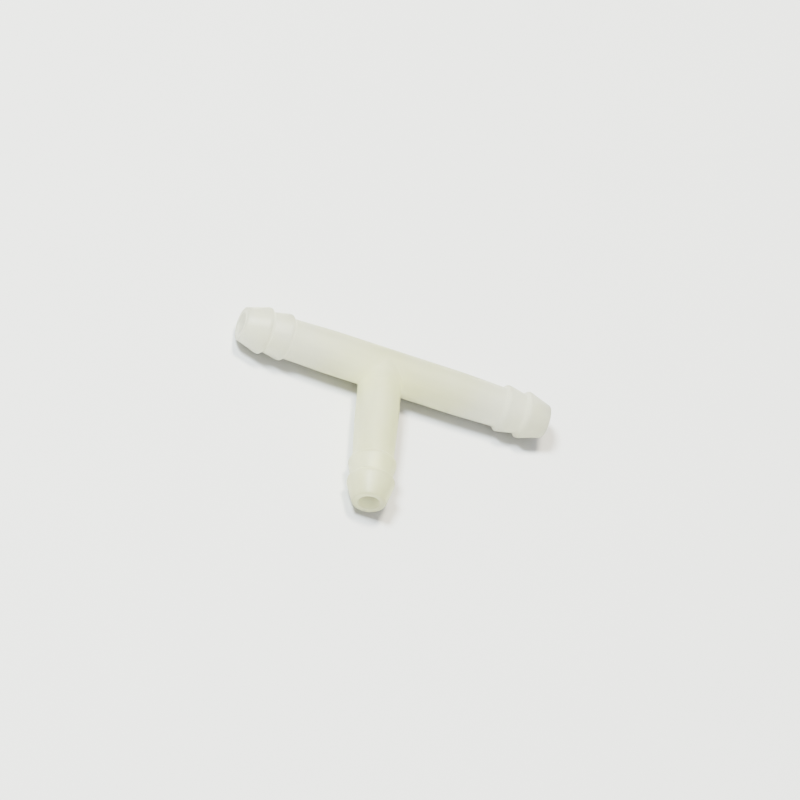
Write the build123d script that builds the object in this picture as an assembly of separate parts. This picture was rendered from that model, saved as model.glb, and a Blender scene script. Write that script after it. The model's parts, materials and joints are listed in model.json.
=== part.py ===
from build123d import *
import os

# A barbed tee for thin irrigation hose: one moulding in natural nylon, written as
# its junction, three plain stems and three barbed tips.
# Millimetres. The origin is where the bore axes cross, the run lies along X with its
# longer arm towards +X, the branch points along -Y, and +Z is up when the tee lies flat.

# Reach of each arm, from the crossing of the axes to its mouth
LEFT_REACH = 16.9
RIGHT_REACH = 19.9
BRANCH_REACH = 18.1

# Outside of the arms
STEM_R = 2.42  # stem at the junction
NECK_R = 2.28  # stem where it meets the barbs
CREST_R = 2.65  # widest point of a barb
MOUTH_R = 1.87  # outer edge of the mouth, where the hose starts
DRAFT_LENGTH = 5.0  # the stem narrows over this length, so that the mould lets go

# Barbs, measured back from the mouth
OUTER_CREST = 2.65
INNER_CREST = 5.15
CREST_LAND = 0.3  # short straight band on top of a barb
BARB_BACK = 0.4  # the steep side that bites into the hose

# Waterway and edges
BORE_R = 1.15
MOUTH_ROUND = 0.2  # rounding of the mouth's outer edge
BORE_BREAK = 0.1  # chamfer where the bore meets the mouth
CORNER_FILLET = 0.3  # inner corners of the junction

# Where the moulding is divided
HUB_REACH = 3.4  # from the crossing of the axes
TIP_LENGTH = INNER_CREST + CREST_LAND / 2 + BARB_BACK  # from the mouth

# Every arm is drawn pointing along +X, then turned about Z to its place
ARMS = {
    "left": (LEFT_REACH, 180),
    "right": (RIGHT_REACH, 0),
    "branch": (BRANCH_REACH, -90),
}


def turned(profile):
    """Revolve a closed list of (distance along X, radius) points about the X axis."""
    return revolve(make_face(Polyline(*profile, close=True)), Axis.X, 360)


def barbed_tip(reach):
    """Two barbs and the mouth, with the waterway through them."""
    half_land = CREST_LAND / 2
    outer = reach - OUTER_CREST
    inner = reach - INNER_CREST
    tip = turned(
        [
            (reach - TIP_LENGTH, BORE_R),
            (reach - TIP_LENGTH, NECK_R),
            (inner - half_land, CREST_R),
            (inner + half_land, CREST_R),
            (outer - half_land - BARB_BACK, NECK_R),
            (outer - half_land, CREST_R),
            (outer + half_land, CREST_R),
            (reach, MOUTH_R),
            (reach, BORE_R + BORE_BREAK),
            (reach - BORE_BREAK, BORE_R),
        ]
    )
    mouth_edges = tip.edges().filter_by(GeomType.CIRCLE).group_by(Axis.X)[-1]
    return fillet(mouth_edges.sort_by(SortBy.RADIUS)[-1], MOUTH_ROUND)


def plain_stem(reach):
    """The tube between the junction and the tip, narrowing towards the barbs."""
    near, far = HUB_REACH, reach - TIP_LENGTH
    outside = [(near, STEM_R), (far - DRAFT_LENGTH, STEM_R), (far, NECK_R)]
    return turned([(near, BORE_R), *outside, (far, BORE_R)])


def junction_hub():
    """The middle of the tee, where the three waterways meet."""
    across = Rotation(0, 90, 0)
    down = Pos(0, -HUB_REACH / 2, 0) * Rotation(90, 0, 0)
    outside = across * Cylinder(STEM_R, 2 * HUB_REACH) + down * Cylinder(STEM_R, HUB_REACH)
    ends_and_seams = (GeomType.CIRCLE, GeomType.LINE)
    corners = outside.edges().filter_by(lambda edge: edge.geom_type not in ends_and_seams)
    outside = fillet(corners, CORNER_FILLET)
    waterway = across * Cylinder(BORE_R, 2 * HUB_REACH) + down * Cylinder(BORE_R, HUB_REACH)
    return outside - waterway


os.makedirs("parts", exist_ok=True)

export_step(junction_hub(), "parts/junction_hub.step")

for side, (reach, heading) in ARMS.items():
    place = Rotation(0, 0, heading)
    export_step(place * plain_stem(reach), f"parts/{side}_stem.step")
    export_step(place * barbed_tip(reach), f"parts/{side}_barbed_tip.step")
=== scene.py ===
import json
import math

import bmesh
import bpy
from mathutils import Matrix, Vector


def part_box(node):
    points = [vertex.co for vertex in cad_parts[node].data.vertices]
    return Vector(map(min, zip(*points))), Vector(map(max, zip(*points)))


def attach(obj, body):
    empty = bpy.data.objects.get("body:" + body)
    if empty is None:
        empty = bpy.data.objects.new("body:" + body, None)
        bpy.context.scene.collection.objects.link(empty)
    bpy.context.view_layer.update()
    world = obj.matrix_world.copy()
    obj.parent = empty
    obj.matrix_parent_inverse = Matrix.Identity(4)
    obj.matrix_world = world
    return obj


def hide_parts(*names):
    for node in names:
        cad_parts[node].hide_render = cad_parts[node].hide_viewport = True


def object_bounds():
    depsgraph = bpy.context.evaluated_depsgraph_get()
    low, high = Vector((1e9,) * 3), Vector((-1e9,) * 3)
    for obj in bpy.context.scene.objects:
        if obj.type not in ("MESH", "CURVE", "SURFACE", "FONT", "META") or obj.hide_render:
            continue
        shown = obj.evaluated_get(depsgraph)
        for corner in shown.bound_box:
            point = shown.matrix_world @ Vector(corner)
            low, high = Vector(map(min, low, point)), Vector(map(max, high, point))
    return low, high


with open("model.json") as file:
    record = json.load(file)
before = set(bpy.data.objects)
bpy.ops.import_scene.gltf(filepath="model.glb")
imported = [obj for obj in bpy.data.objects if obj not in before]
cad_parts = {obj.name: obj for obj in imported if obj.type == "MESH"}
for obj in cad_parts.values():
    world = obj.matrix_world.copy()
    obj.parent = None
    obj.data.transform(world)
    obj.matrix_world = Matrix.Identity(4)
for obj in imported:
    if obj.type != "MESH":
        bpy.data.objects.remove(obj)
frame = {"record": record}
cad_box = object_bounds()


# The three arms. Each is a plain tube that narrows a little towards two hose barbs and a
# mouth. They are turned shapes: the mould is bored for them, and a core pin leaves the
# waterway. All three share one outline and differ in how far they reach.

stem_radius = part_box("left_stem")[1].z
crest_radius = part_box("left_barbed_tip")[1].z
hub_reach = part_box("junction_hub")[1].x
tip_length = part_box("left_barbed_tip")[1].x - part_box("left_barbed_tip")[0].x
millimetres_in_a_metre = 1000
bore_radius = frame["record"]["mounts"][0]["dims"]["r_mm"] / millimetres_in_a_metre

left_reach = -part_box("left_barbed_tip")[0].x
right_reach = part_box("right_barbed_tip")[1].x
branch_reach = -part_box("branch_barbed_tip")[0].y

neck_radius = 0.00228
mouth_radius = 0.00187
draft_length = 0.0050
outer_crest = 0.00265
inner_crest = 0.00515
half_land = 0.00015
barb_back = 0.0004

crest_round = 0.00018
crease_round = 0.00018
mouth_round = 0.00024
bore_round = 0.00012
draft_round = 0.0200

sides_around = 96
steps_in_a_corner = 5

# Distance back from the mouth, radius, and rounding of the corner there
arm_outline = [
    (tip_length + draft_length, stem_radius, draft_round),
    (tip_length, neck_radius, crease_round),
    (inner_crest + half_land, crest_radius, crest_round),
    (inner_crest - half_land, crest_radius, crest_round),
    (outer_crest + half_land + barb_back, neck_radius, crease_round),
    (outer_crest + half_land, crest_radius, crest_round),
    (outer_crest - half_land, crest_radius, crest_round),
    (0.0, mouth_radius, mouth_round),
    (0.0, bore_radius, bore_round),
]

# The nylon's colour and surface are worked out below, once the moulding is whole
nylon = bpy.data.materials.new("natural_nylon")
nylon.use_nodes = True


def linked(tree, kind, inputs, output=0, **settings):
    """Add a node, set its properties, feed its inputs from values or sockets."""
    node = tree.nodes.new(kind)
    for name, value in settings.items():
        setattr(node, name, value)
    for name, value in inputs.items():
        if isinstance(value, bpy.types.NodeSocket):
            tree.links.new(value, node.inputs[name])
        else:
            node.inputs[name].default_value = value
    return node.outputs[output]


def reckoned(tree, operation, *values, clamp=False):
    """Arithmetic on values or sockets."""
    inputs = dict(enumerate(values))
    return linked(tree, "ShaderNodeMath", inputs, operation=operation, use_clamp=clamp)


def arm_turner():
    """A tree that carries the outline's free end out to the reach and turns it about the bore."""
    tree = bpy.data.node_groups.new("turned_arm", "GeometryNodeTree")
    sockets = [
        ("Outline", "NodeSocketGeometry"),
        ("Reach", "NodeSocketFloat"),
        ("Heading", "NodeSocketFloat"),
        ("Bore Radius", "NodeSocketFloat"),
        ("Sides Around", "NodeSocketInt"),
        ("Steps In A Corner", "NodeSocketInt"),
        ("Material", "NodeSocketMaterial"),
    ]
    for name, kind in sockets:
        tree.interface.new_socket(name, in_out="INPUT", socket_type=kind)
    tree.interface.new_socket("Arm", in_out="OUTPUT", socket_type="NodeSocketGeometry")
    given = tree.nodes.new("NodeGroupInput").outputs

    def carried(name):
        """A number that the outline's points carry."""
        return linked(tree, "GeometryNodeInputNamedAttribute", {"Name": name}, data_type="FLOAT")

    shift = reckoned(tree, "MULTIPLY", carried("at_mouth"), given["Reach"])
    downwards = reckoned(tree, "MULTIPLY", shift, -1.0)
    offset = linked(tree, "ShaderNodeCombineXYZ", {"Y": downwards})
    moves = {"Geometry": given["Outline"], "Offset": offset}
    placed = linked(tree, "GeometryNodeSetPosition", moves)
    corners = {
        "Curve": linked(tree, "GeometryNodeMeshToCurve", {"Mesh": placed}),
        "Radius": carried("rounding"),
        "Count": given["Steps In A Corner"],
        "Limit Radius": True,
    }
    rounded = linked(tree, "GeometryNodeFilletCurve", corners, mode="POLY")
    circle = {"Resolution": given["Sides Around"], "Radius": given["Bore Radius"]}
    bore = linked(tree, "GeometryNodeCurvePrimitiveCircle", circle, mode="RADIUS")
    turned = linked(tree, "GeometryNodeCurveToMesh", {"Curve": bore, "Profile Curve": rounded})
    turn = linked(tree, "ShaderNodeCombineXYZ", {"Y": math.pi / 2, "Z": given["Heading"]})
    aimed = linked(tree, "GeometryNodeTransform", {"Geometry": turned, "Rotation": turn})
    whole = linked(tree, "GeometryNodeRealizeInstances", {"Geometry": aimed})
    finish = {"Geometry": whole, "Material": given["Material"]}
    finished = linked(tree, "GeometryNodeSetMaterial", finish)
    tree.links.new(finished, tree.nodes.new("NodeGroupOutput").inputs["Arm"])
    return tree


def outline_wire():
    """The arm's half section as a wire: X is the height above the bore, -Y runs along the arm.

    Its two ends stay at the hub. The points between them are carried out with the mouth.
    """
    points = [(stem_radius - bore_radius, -hub_reach, 0.0)]
    points += [(radius - bore_radius, back, 0.0) for back, radius, _ in arm_outline]
    points += [(0.0, -hub_reach, 0.0)]
    wire = bpy.data.meshes.new("arm_outline")
    wire.from_pydata(points, [(i, i + 1) for i in range(len(points) - 1)], [])
    at_mouth = wire.attributes.new("at_mouth", "FLOAT", "POINT")
    at_mouth.data.foreach_set("value", [0.0] + [1.0] * len(arm_outline) + [0.0])
    rounding = wire.attributes.new("rounding", "FLOAT", "POINT")
    rounding.data.foreach_set("value", [0.0] + [corner for _, _, corner in arm_outline] + [0.0])
    return wire


def turned_arm(name, reach, heading, wire, tree):
    """One arm as a plain mesh, from the hub to its mouth and back down the bore."""
    arm = bpy.data.objects.new(name, wire)
    bpy.context.scene.collection.objects.link(arm)
    turner = arm.modifiers.new("turner", "NODES")
    turner.node_group = tree
    values = {
        "Reach": reach,
        "Heading": heading,
        "Bore Radius": bore_radius,
        "Sides Around": sides_around,
        "Steps In A Corner": steps_in_a_corner,
        "Material": nylon,
    }
    for item in tree.interface.items_tree:
        if item.in_out == "INPUT" and item.name in values:
            turner[item.identifier] = values[item.name]
    depsgraph = bpy.context.evaluated_depsgraph_get()
    mesh = bpy.data.meshes.new_from_object(arm.evaluated_get(depsgraph))
    bpy.data.objects.remove(arm)
    return mesh


turner_tree = arm_turner()
arm_wire = outline_wire()
arms = [
    turned_arm("left_arm", left_reach, math.pi, arm_wire, turner_tree),
    turned_arm("right_arm", right_reach, 0.0, arm_wire, turner_tree),
    turned_arm("branch_arm", branch_reach, -math.pi / 2, arm_wire, turner_tree),
]


# The junction, where the branch tube runs into the side of the run tube. The two outsides
# are the same width, so they meet along a mitre, softened by the corner left by the mould's
# cutter. The core pins meet inside it with a nearly sharp corner.

corner_radius = 0.00030
core_corner_radius = 0.00005
steps_to_corner = 8
steps_across_corner = 6
weld_distance = 0.0000004


def add_grid(moulding, rows):
    """Fill the squares between rows of points."""
    made = [[moulding.verts.new(point) for point in row] for row in rows]
    for near, far in zip(made, made[1:]):
        for a, b, c, d in zip(near, near[1:], far[1:], far):
            moulding.faces.new((a, b, c, d))


def add_crossing(moulding, radius, corner):
    """Two tubes of one radius crossing in a tee, with a rolled corner between them."""
    half_around = sides_around // 2
    turns = [math.pi * step / half_around for step in range(half_around + 1)]
    shares = [step / steps_to_corner for step in range(steps_to_corner + 1)]
    rolls = [step / steps_across_corner for step in range(steps_across_corner + 1)]
    for side in (-1, 1):
        run_rows, branch_rows, corner_rows = [], [], []
        for turn in turns:
            out, up = math.sin(turn), math.cos(turn)
            stop = (radius + corner) * out
            along = [hub_reach + (stop - hub_reach) * share for share in shares]
            run_rows.append([Vector((side * x, -radius * out, radius * up)) for x in along])
            branch_rows.append([Vector((side * radius * out, -y, radius * up)) for y in along])
            centre = Vector((side * stop, -stop, (radius + corner) * up))
            start, end = Vector((0, out, -up)), Vector((-side * out, 0, -up))
            corner_rows.append([centre + corner * start.slerp(end, roll) for roll in rolls])
        for rows in (run_rows, branch_rows, corner_rows):
            add_grid(moulding, rows)
    across = [-hub_reach * (1 - share) for share in shares]
    across += [-x for x in reversed(across[:-1])]
    back = [[(x, radius * math.sin(t), radius * math.cos(t)) for x in across] for t in turns]
    add_grid(moulding, back)


moulding = bmesh.new()
for arm in arms:
    moulding.from_mesh(arm)
add_crossing(moulding, stem_radius, corner_radius)
add_crossing(moulding, bore_radius, core_corner_radius)
bmesh.ops.remove_doubles(moulding, verts=moulding.verts, dist=weld_distance)
bmesh.ops.recalc_face_normals(moulding, faces=moulding.faces)
for face in moulding.faces:
    face.smooth = True

tee_mesh = bpy.data.meshes.new("nylon_tee")
moulding.to_mesh(tee_mesh)
moulding.free()
tee_mesh.materials.append(nylon)
tee = bpy.data.objects.new("nylon_tee", tee_mesh)
bpy.context.scene.collection.objects.link(tee)


# The nylon of the tee. It is moulded without a dye: milky, a little yellow, and so cloudy that
# light spreads through its walls. The skin is satin, with the fine grain of the mould.

pale_nylon = (0.575, 0.567, 0.480, 1)
warm_nylon = (0.56, 0.542, 0.345, 1)
warm_until = 0.002
pale_from = 0.014
warmth_in_junction = 0.85
warmth_at_run_ends = 0.05
clouds_per_metre = 170.0
cloud_detail = 2.0
cloud_swing = 0.25

rim_width = 0.0002
bore_shade_at_mouth = 0.86
bore_shade_inside = 0.24
bore_fade = 0.0028

marks_along = 90
marks_across = 900
branch_marks_from = -0.0024
branch_marks_all = -0.0034
mark_detail = 2.0
darkest_mark = 0.945
mark_relief = 0.000009

seam_flat = 0.00002
seam_edge = 0.00007
seam_relief = 0.000008

grain_detail = 3.0
grain_raggedness = 0.6
nylon_grains = 3200.0
nylon_grain_depth = 0.000007
nylon_roughness = (0.38, 0.5)
nylon_ior = 1.53
see_through = 0.012
see_through_by_colour = (1.0, 1.0, 0.9)

# Nearly all of a noise lies between these two
noise_low = 0.3
noise_high = 0.7

# Which inputs and output of a Mix node belong to each kind of value
mix_sockets = {"FLOAT": (2, 3, 0), "VECTOR": (4, 5, 1), "RGBA": (6, 7, 2)}


def spread(tree, value, start, end, to_start=0.0, to_end=1.0, kind="LINEAR"):
    """Carry a value from one span of numbers to another, held at the ends."""
    inputs = {
        "Value": value,
        "From Min": start,
        "From Max": end,
        "To Min": to_start,
        "To Max": to_end,
    }
    return linked(tree, "ShaderNodeMapRange", inputs, interpolation_type=kind)


def mixed(tree, kind, share, first, second):
    """Blend two numbers, places or colours by a share of the second."""
    into_first, into_second, output = mix_sockets[kind]
    inputs = {0: share, into_first: first, into_second: second}
    return linked(tree, "ShaderNodeMix", inputs, output=output, data_type=kind)


def length_of(tree, **parts):
    """How far a place is from the origin, going by the parts of it that are given."""
    offset = linked(tree, "ShaderNodeCombineXYZ", parts)
    return linked(tree, "ShaderNodeVectorMath", {0: offset}, output="Value", operation="LENGTH")


def fine_grain():
    """Shared by every material here: a fine grain, and a normal from it and any other relief."""
    tree = bpy.data.node_groups.new("fine_grain", "ShaderNodeTree")
    sockets = [
        ("Place", "NodeSocketVector"),
        ("Grains Per Metre", "NodeSocketFloat"),
        ("Depth", "NodeSocketFloat"),
        ("Other Relief", "NodeSocketFloat"),
    ]
    for name, kind in sockets:
        tree.interface.new_socket(name, in_out="INPUT", socket_type=kind)
    tree.interface.new_socket("Grain", in_out="OUTPUT", socket_type="NodeSocketFloat")
    tree.interface.new_socket("Normal", in_out="OUTPUT", socket_type="NodeSocketVector")
    given = tree.nodes.new("NodeGroupInput").outputs
    made = tree.nodes.new("NodeGroupOutput").inputs
    spots = {
        "Vector": given["Place"],
        "Scale": given["Grains Per Metre"],
        "Detail": grain_detail,
        "Roughness": grain_raggedness,
    }
    grain = linked(tree, "ShaderNodeTexNoise", spots)
    height = reckoned(tree, "MULTIPLY_ADD", grain, given["Depth"], given["Other Relief"])
    bump = {"Strength": 1.0, "Distance": 1.0, "Height": height}
    tree.links.new(grain, made["Grain"])
    tree.links.new(linked(tree, "ShaderNodeBump", bump), made["Normal"])
    return tree


def grained(material, tree_of_grain, place, grains, depth, roughness):
    """Lay the grain on a material: its normal and its roughness. Returns the group."""
    tree = material.node_tree
    group = tree.nodes.new("ShaderNodeGroup")
    group.node_tree = tree_of_grain
    group.inputs["Grains Per Metre"].default_value = grains
    group.inputs["Depth"].default_value = depth
    tree.links.new(place, group.inputs["Place"])
    sheen = spread(tree, group.outputs["Grain"], noise_low, noise_high, *roughness)
    surface = tree.nodes["Principled BSDF"]
    tree.links.new(sheen, surface.inputs["Roughness"])
    tree.links.new(group.outputs["Normal"], surface.inputs["Normal"])
    return group


grain_tree = fine_grain()
tree = nylon.node_tree
place = linked(tree, "ShaderNodeTexCoord", {}, output="Object")
axes = tree.nodes.new("ShaderNodeSeparateXYZ")
tree.links.new(place, axes.inputs["Vector"])
along_run, along_branch, height = axes.outputs

# Warmest in the junction and the branch, palest at the ends of the run, and cloudy all over
aside = reckoned(tree, "ABSOLUTE", along_run)
span = (warm_until, pale_from, warmth_in_junction, warmth_at_run_ends)
zone = spread(tree, aside, *span, kind="SMOOTHSTEP")
clouds = {"Vector": place, "Scale": clouds_per_metre, "Detail": cloud_detail}
cloud = linked(tree, "ShaderNodeTexNoise", clouds)
swing = spread(tree, cloud, noise_low, noise_high, -cloud_swing, cloud_swing)
warmth = reckoned(tree, "ADD", zone, swing, clamp=True)
tone = mixed(tree, "RGBA", warmth, pale_nylon, warm_nylon)

# Painted shade in the waterway: the colour darkens from the nearest mouth inwards, standing in
# for the light that comes back out less the further in
off_run_axis = length_of(tree, Y=along_branch, Z=height)
behind = reckoned(tree, "MAXIMUM", along_branch, 0.0)
off_branch_axis = length_of(tree, X=along_run, Y=behind, Z=height)
off_axis = reckoned(tree, "MINIMUM", off_run_axis, off_branch_axis)
rim = (bore_radius, bore_radius + rim_width)
outside_bore = spread(tree, off_axis, *rim, kind="SMOOTHSTEP")
from_left = reckoned(tree, "ADD", along_run, left_reach)
from_right = reckoned(tree, "SUBTRACT", right_reach, along_run)
from_branch = reckoned(tree, "ADD", along_branch, branch_reach)
from_run_ends = reckoned(tree, "MINIMUM", from_left, from_right)
inwards = reckoned(tree, "MINIMUM", from_run_ends, from_branch)
in_bore = spread(tree, inwards, 0.0, bore_fade, bore_shade_at_mouth, bore_shade_inside)
bore_light = mixed(tree, "FLOAT", outside_bore, in_bore, 1.0)

# Faint flow marks drawn out along each arm, where the melt ran
run_scale = (marks_along, marks_across, marks_across)
branch_scale = (marks_across, marks_along, marks_across)
run_marks = linked(tree, "ShaderNodeMapping", {"Vector": place, "Scale": run_scale})
branch_marks = linked(tree, "ShaderNodeMapping", {"Vector": place, "Scale": branch_scale})
in_branch = spread(tree, along_branch, branch_marks_from, branch_marks_all)
drawn_out = mixed(tree, "VECTOR", in_branch, run_marks, branch_marks)
marks = {"Vector": drawn_out, "Scale": 1.0, "Detail": mark_detail}
flow = linked(tree, "ShaderNodeTexNoise", marks)
flow_shade = spread(tree, flow, noise_low, noise_high, darkest_mark, 1.0)
# The real flow marks and the painted shade of the waterway darken the tone together
shade = reckoned(tree, "MULTIPLY", flow_shade, bore_light)
shaded = linked(tree, "ShaderNodeVectorMath", {0: tone, "Scale": shade}, operation="SCALE")

# The parting line of the mould, a thread of plastic at half height round the outside
off_middle = reckoned(tree, "ABSOLUTE", height)
seam = spread(tree, off_middle, seam_flat, seam_edge, 1.0, 0.0, kind="SMOOTHSTEP")
off_run = reckoned(tree, "ABSOLUTE", along_branch)
nearer = reckoned(tree, "MINIMUM", aside, off_run)
outermost = reckoned(tree, "MAXIMUM", nearer, along_branch)
outside = reckoned(tree, "GREATER_THAN", outermost, mouth_radius)
thread = reckoned(tree, "MULTIPLY", seam, outside)
seam_height = reckoned(tree, "MULTIPLY", thread, seam_relief)
relief = reckoned(tree, "MULTIPLY_ADD", flow, mark_relief, seam_height)

moulded = grained(nylon, grain_tree, place, nylon_grains, nylon_grain_depth, nylon_roughness)
tree.links.new(relief, moulded.inputs["Other Relief"])
skin = tree.nodes["Principled BSDF"]
skin.subsurface_method = "BURLEY"
skin.inputs["IOR"].default_value = nylon_ior
skin.inputs["Subsurface Weight"].default_value = 1.0
skin.inputs["Subsurface Radius"].default_value = see_through_by_colour
skin.inputs["Subsurface Scale"].default_value = see_through
tree.links.new(shaded, skin.inputs["Base Color"])

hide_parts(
    "junction_hub",
    "left_stem",
    "right_stem",
    "branch_stem",
    "left_barbed_tip",
    "right_barbed_tip",
    "branch_barbed_tip",
)
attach(tee, "root")


# The tabletop the tee lies on: a matt white board, faintly mottled, with the even grain of
# pressed card. It is wide enough to fill the view from every side.

table_size = 3.0
board_greys = ((0.835, 0.835, 0.84, 1), (0.865, 0.865, 0.86, 1))
mottles_per_metre = 90.0
mottle_detail = 4.0
board_grains = 1500.0
board_grain_depth = 0.00001
board_roughness = (0.65, 0.8)

table_mesh = bpy.data.meshes.new("tabletop")
edge = table_size / 2
level = cad_box[0].z
corners = [(-edge, -edge, level), (edge, -edge, level), (edge, edge, level), (-edge, edge, level)]
table_mesh.from_pydata(corners, [], [(0, 1, 2, 3)])
tabletop = bpy.data.objects.new("tabletop", table_mesh)
bpy.context.scene.collection.objects.link(tabletop)

board = bpy.data.materials.new("white_board")
board.use_nodes = True
tree = board.node_tree
place = linked(tree, "ShaderNodeTexCoord", {}, output="Object")
mottles = {"Vector": place, "Scale": mottles_per_metre, "Detail": mottle_detail}
mottle = linked(tree, "ShaderNodeTexNoise", mottles)
grey = mixed(tree, "RGBA", mottle, *board_greys)
tree.links.new(grey, tree.nodes["Principled BSDF"].inputs["Base Color"])
grained(board, grain_tree, place, board_grains, board_grain_depth, board_roughness)
table_mesh.materials.append(board)


# Light: a bright white room, and two soft panels high up, a cool one to the left and a warm
# one behind. Each throws its own pale shadow; the floor is darker where the two cross.

room_brightness = 0.17
panel_distance = 1.0
panel_width = 0.20
cool_white = (0.90, 0.98, 1.0)
warm_white = (1.0, 0.93, 0.78)
exposure_stops = 1.6

world = bpy.data.worlds.new("bright_room")
bpy.context.scene.world = world
world.use_nodes = True
world.node_tree.nodes["Background"].inputs["Color"].default_value = (1, 1, 1, 1)
world.node_tree.nodes["Background"].inputs["Strength"].default_value = room_brightness


def soft_panel(name, towards, power, colour):
    """A square soft panel that hangs in a direction from the tee and faces it."""
    light = bpy.data.lights.new(name, "AREA")
    light.size = panel_width
    light.energy = power
    light.color = colour
    holder = bpy.data.objects.new(name, light)
    holder.location = Vector(towards).normalized() * panel_distance
    holder.rotation_euler = Vector(towards).to_track_quat("Z", "Y").to_euler()
    bpy.context.scene.collection.objects.link(holder)


soft_panel("left_panel", (-0.523, 0.012, 0.852), power=4.9, colour=cool_white)
soft_panel("right_panel", (-0.124, 0.220, 0.968), power=3.6, colour=warm_white)

# A bright exposure, so that the white board and the pale nylon draw close together
bpy.context.scene.view_settings.view_transform = "Filmic"
bpy.context.scene.view_settings.exposure = exposure_stops


# The camera looks down on the tee from the side of its short arm, turned about its own
# axis so that the run slopes gently across the view.

azimuth = math.radians(-27.0)
elevation = math.radians(49.3)
roll = math.radians(39.1)
camera_distance = 1.20
millimetres_across = 88.2
nearest_seen = 0.01
farthest_seen = 10
aim_right = 0.00207
aim_up = -0.00344

level_right = Vector((math.cos(azimuth), math.sin(azimuth), 0))
level_share = math.cos(elevation)
away = (math.sin(azimuth) * level_share, -math.cos(azimuth) * level_share, math.sin(elevation))
backwards = Vector(away)
level_up = backwards.cross(level_right)
right = math.cos(roll) * level_right + math.sin(roll) * level_up
up = -math.sin(roll) * level_right + math.cos(roll) * level_up
aim = aim_right * right + aim_up * up

camera_data = bpy.data.cameras.new("camera")
view_width = millimetres_across / millimetres_in_a_metre
camera_data.lens = camera_data.sensor_width * camera_distance / view_width
camera_data.clip_start = nearest_seen
camera_data.clip_end = farthest_seen
camera = bpy.data.objects.new("camera", camera_data)
facing = Matrix((right, up, backwards)).transposed().to_4x4()
camera.matrix_world = Matrix.Translation(aim + backwards * camera_distance) @ facing
bpy.context.scene.collection.objects.link(camera)
bpy.context.scene.camera = camera
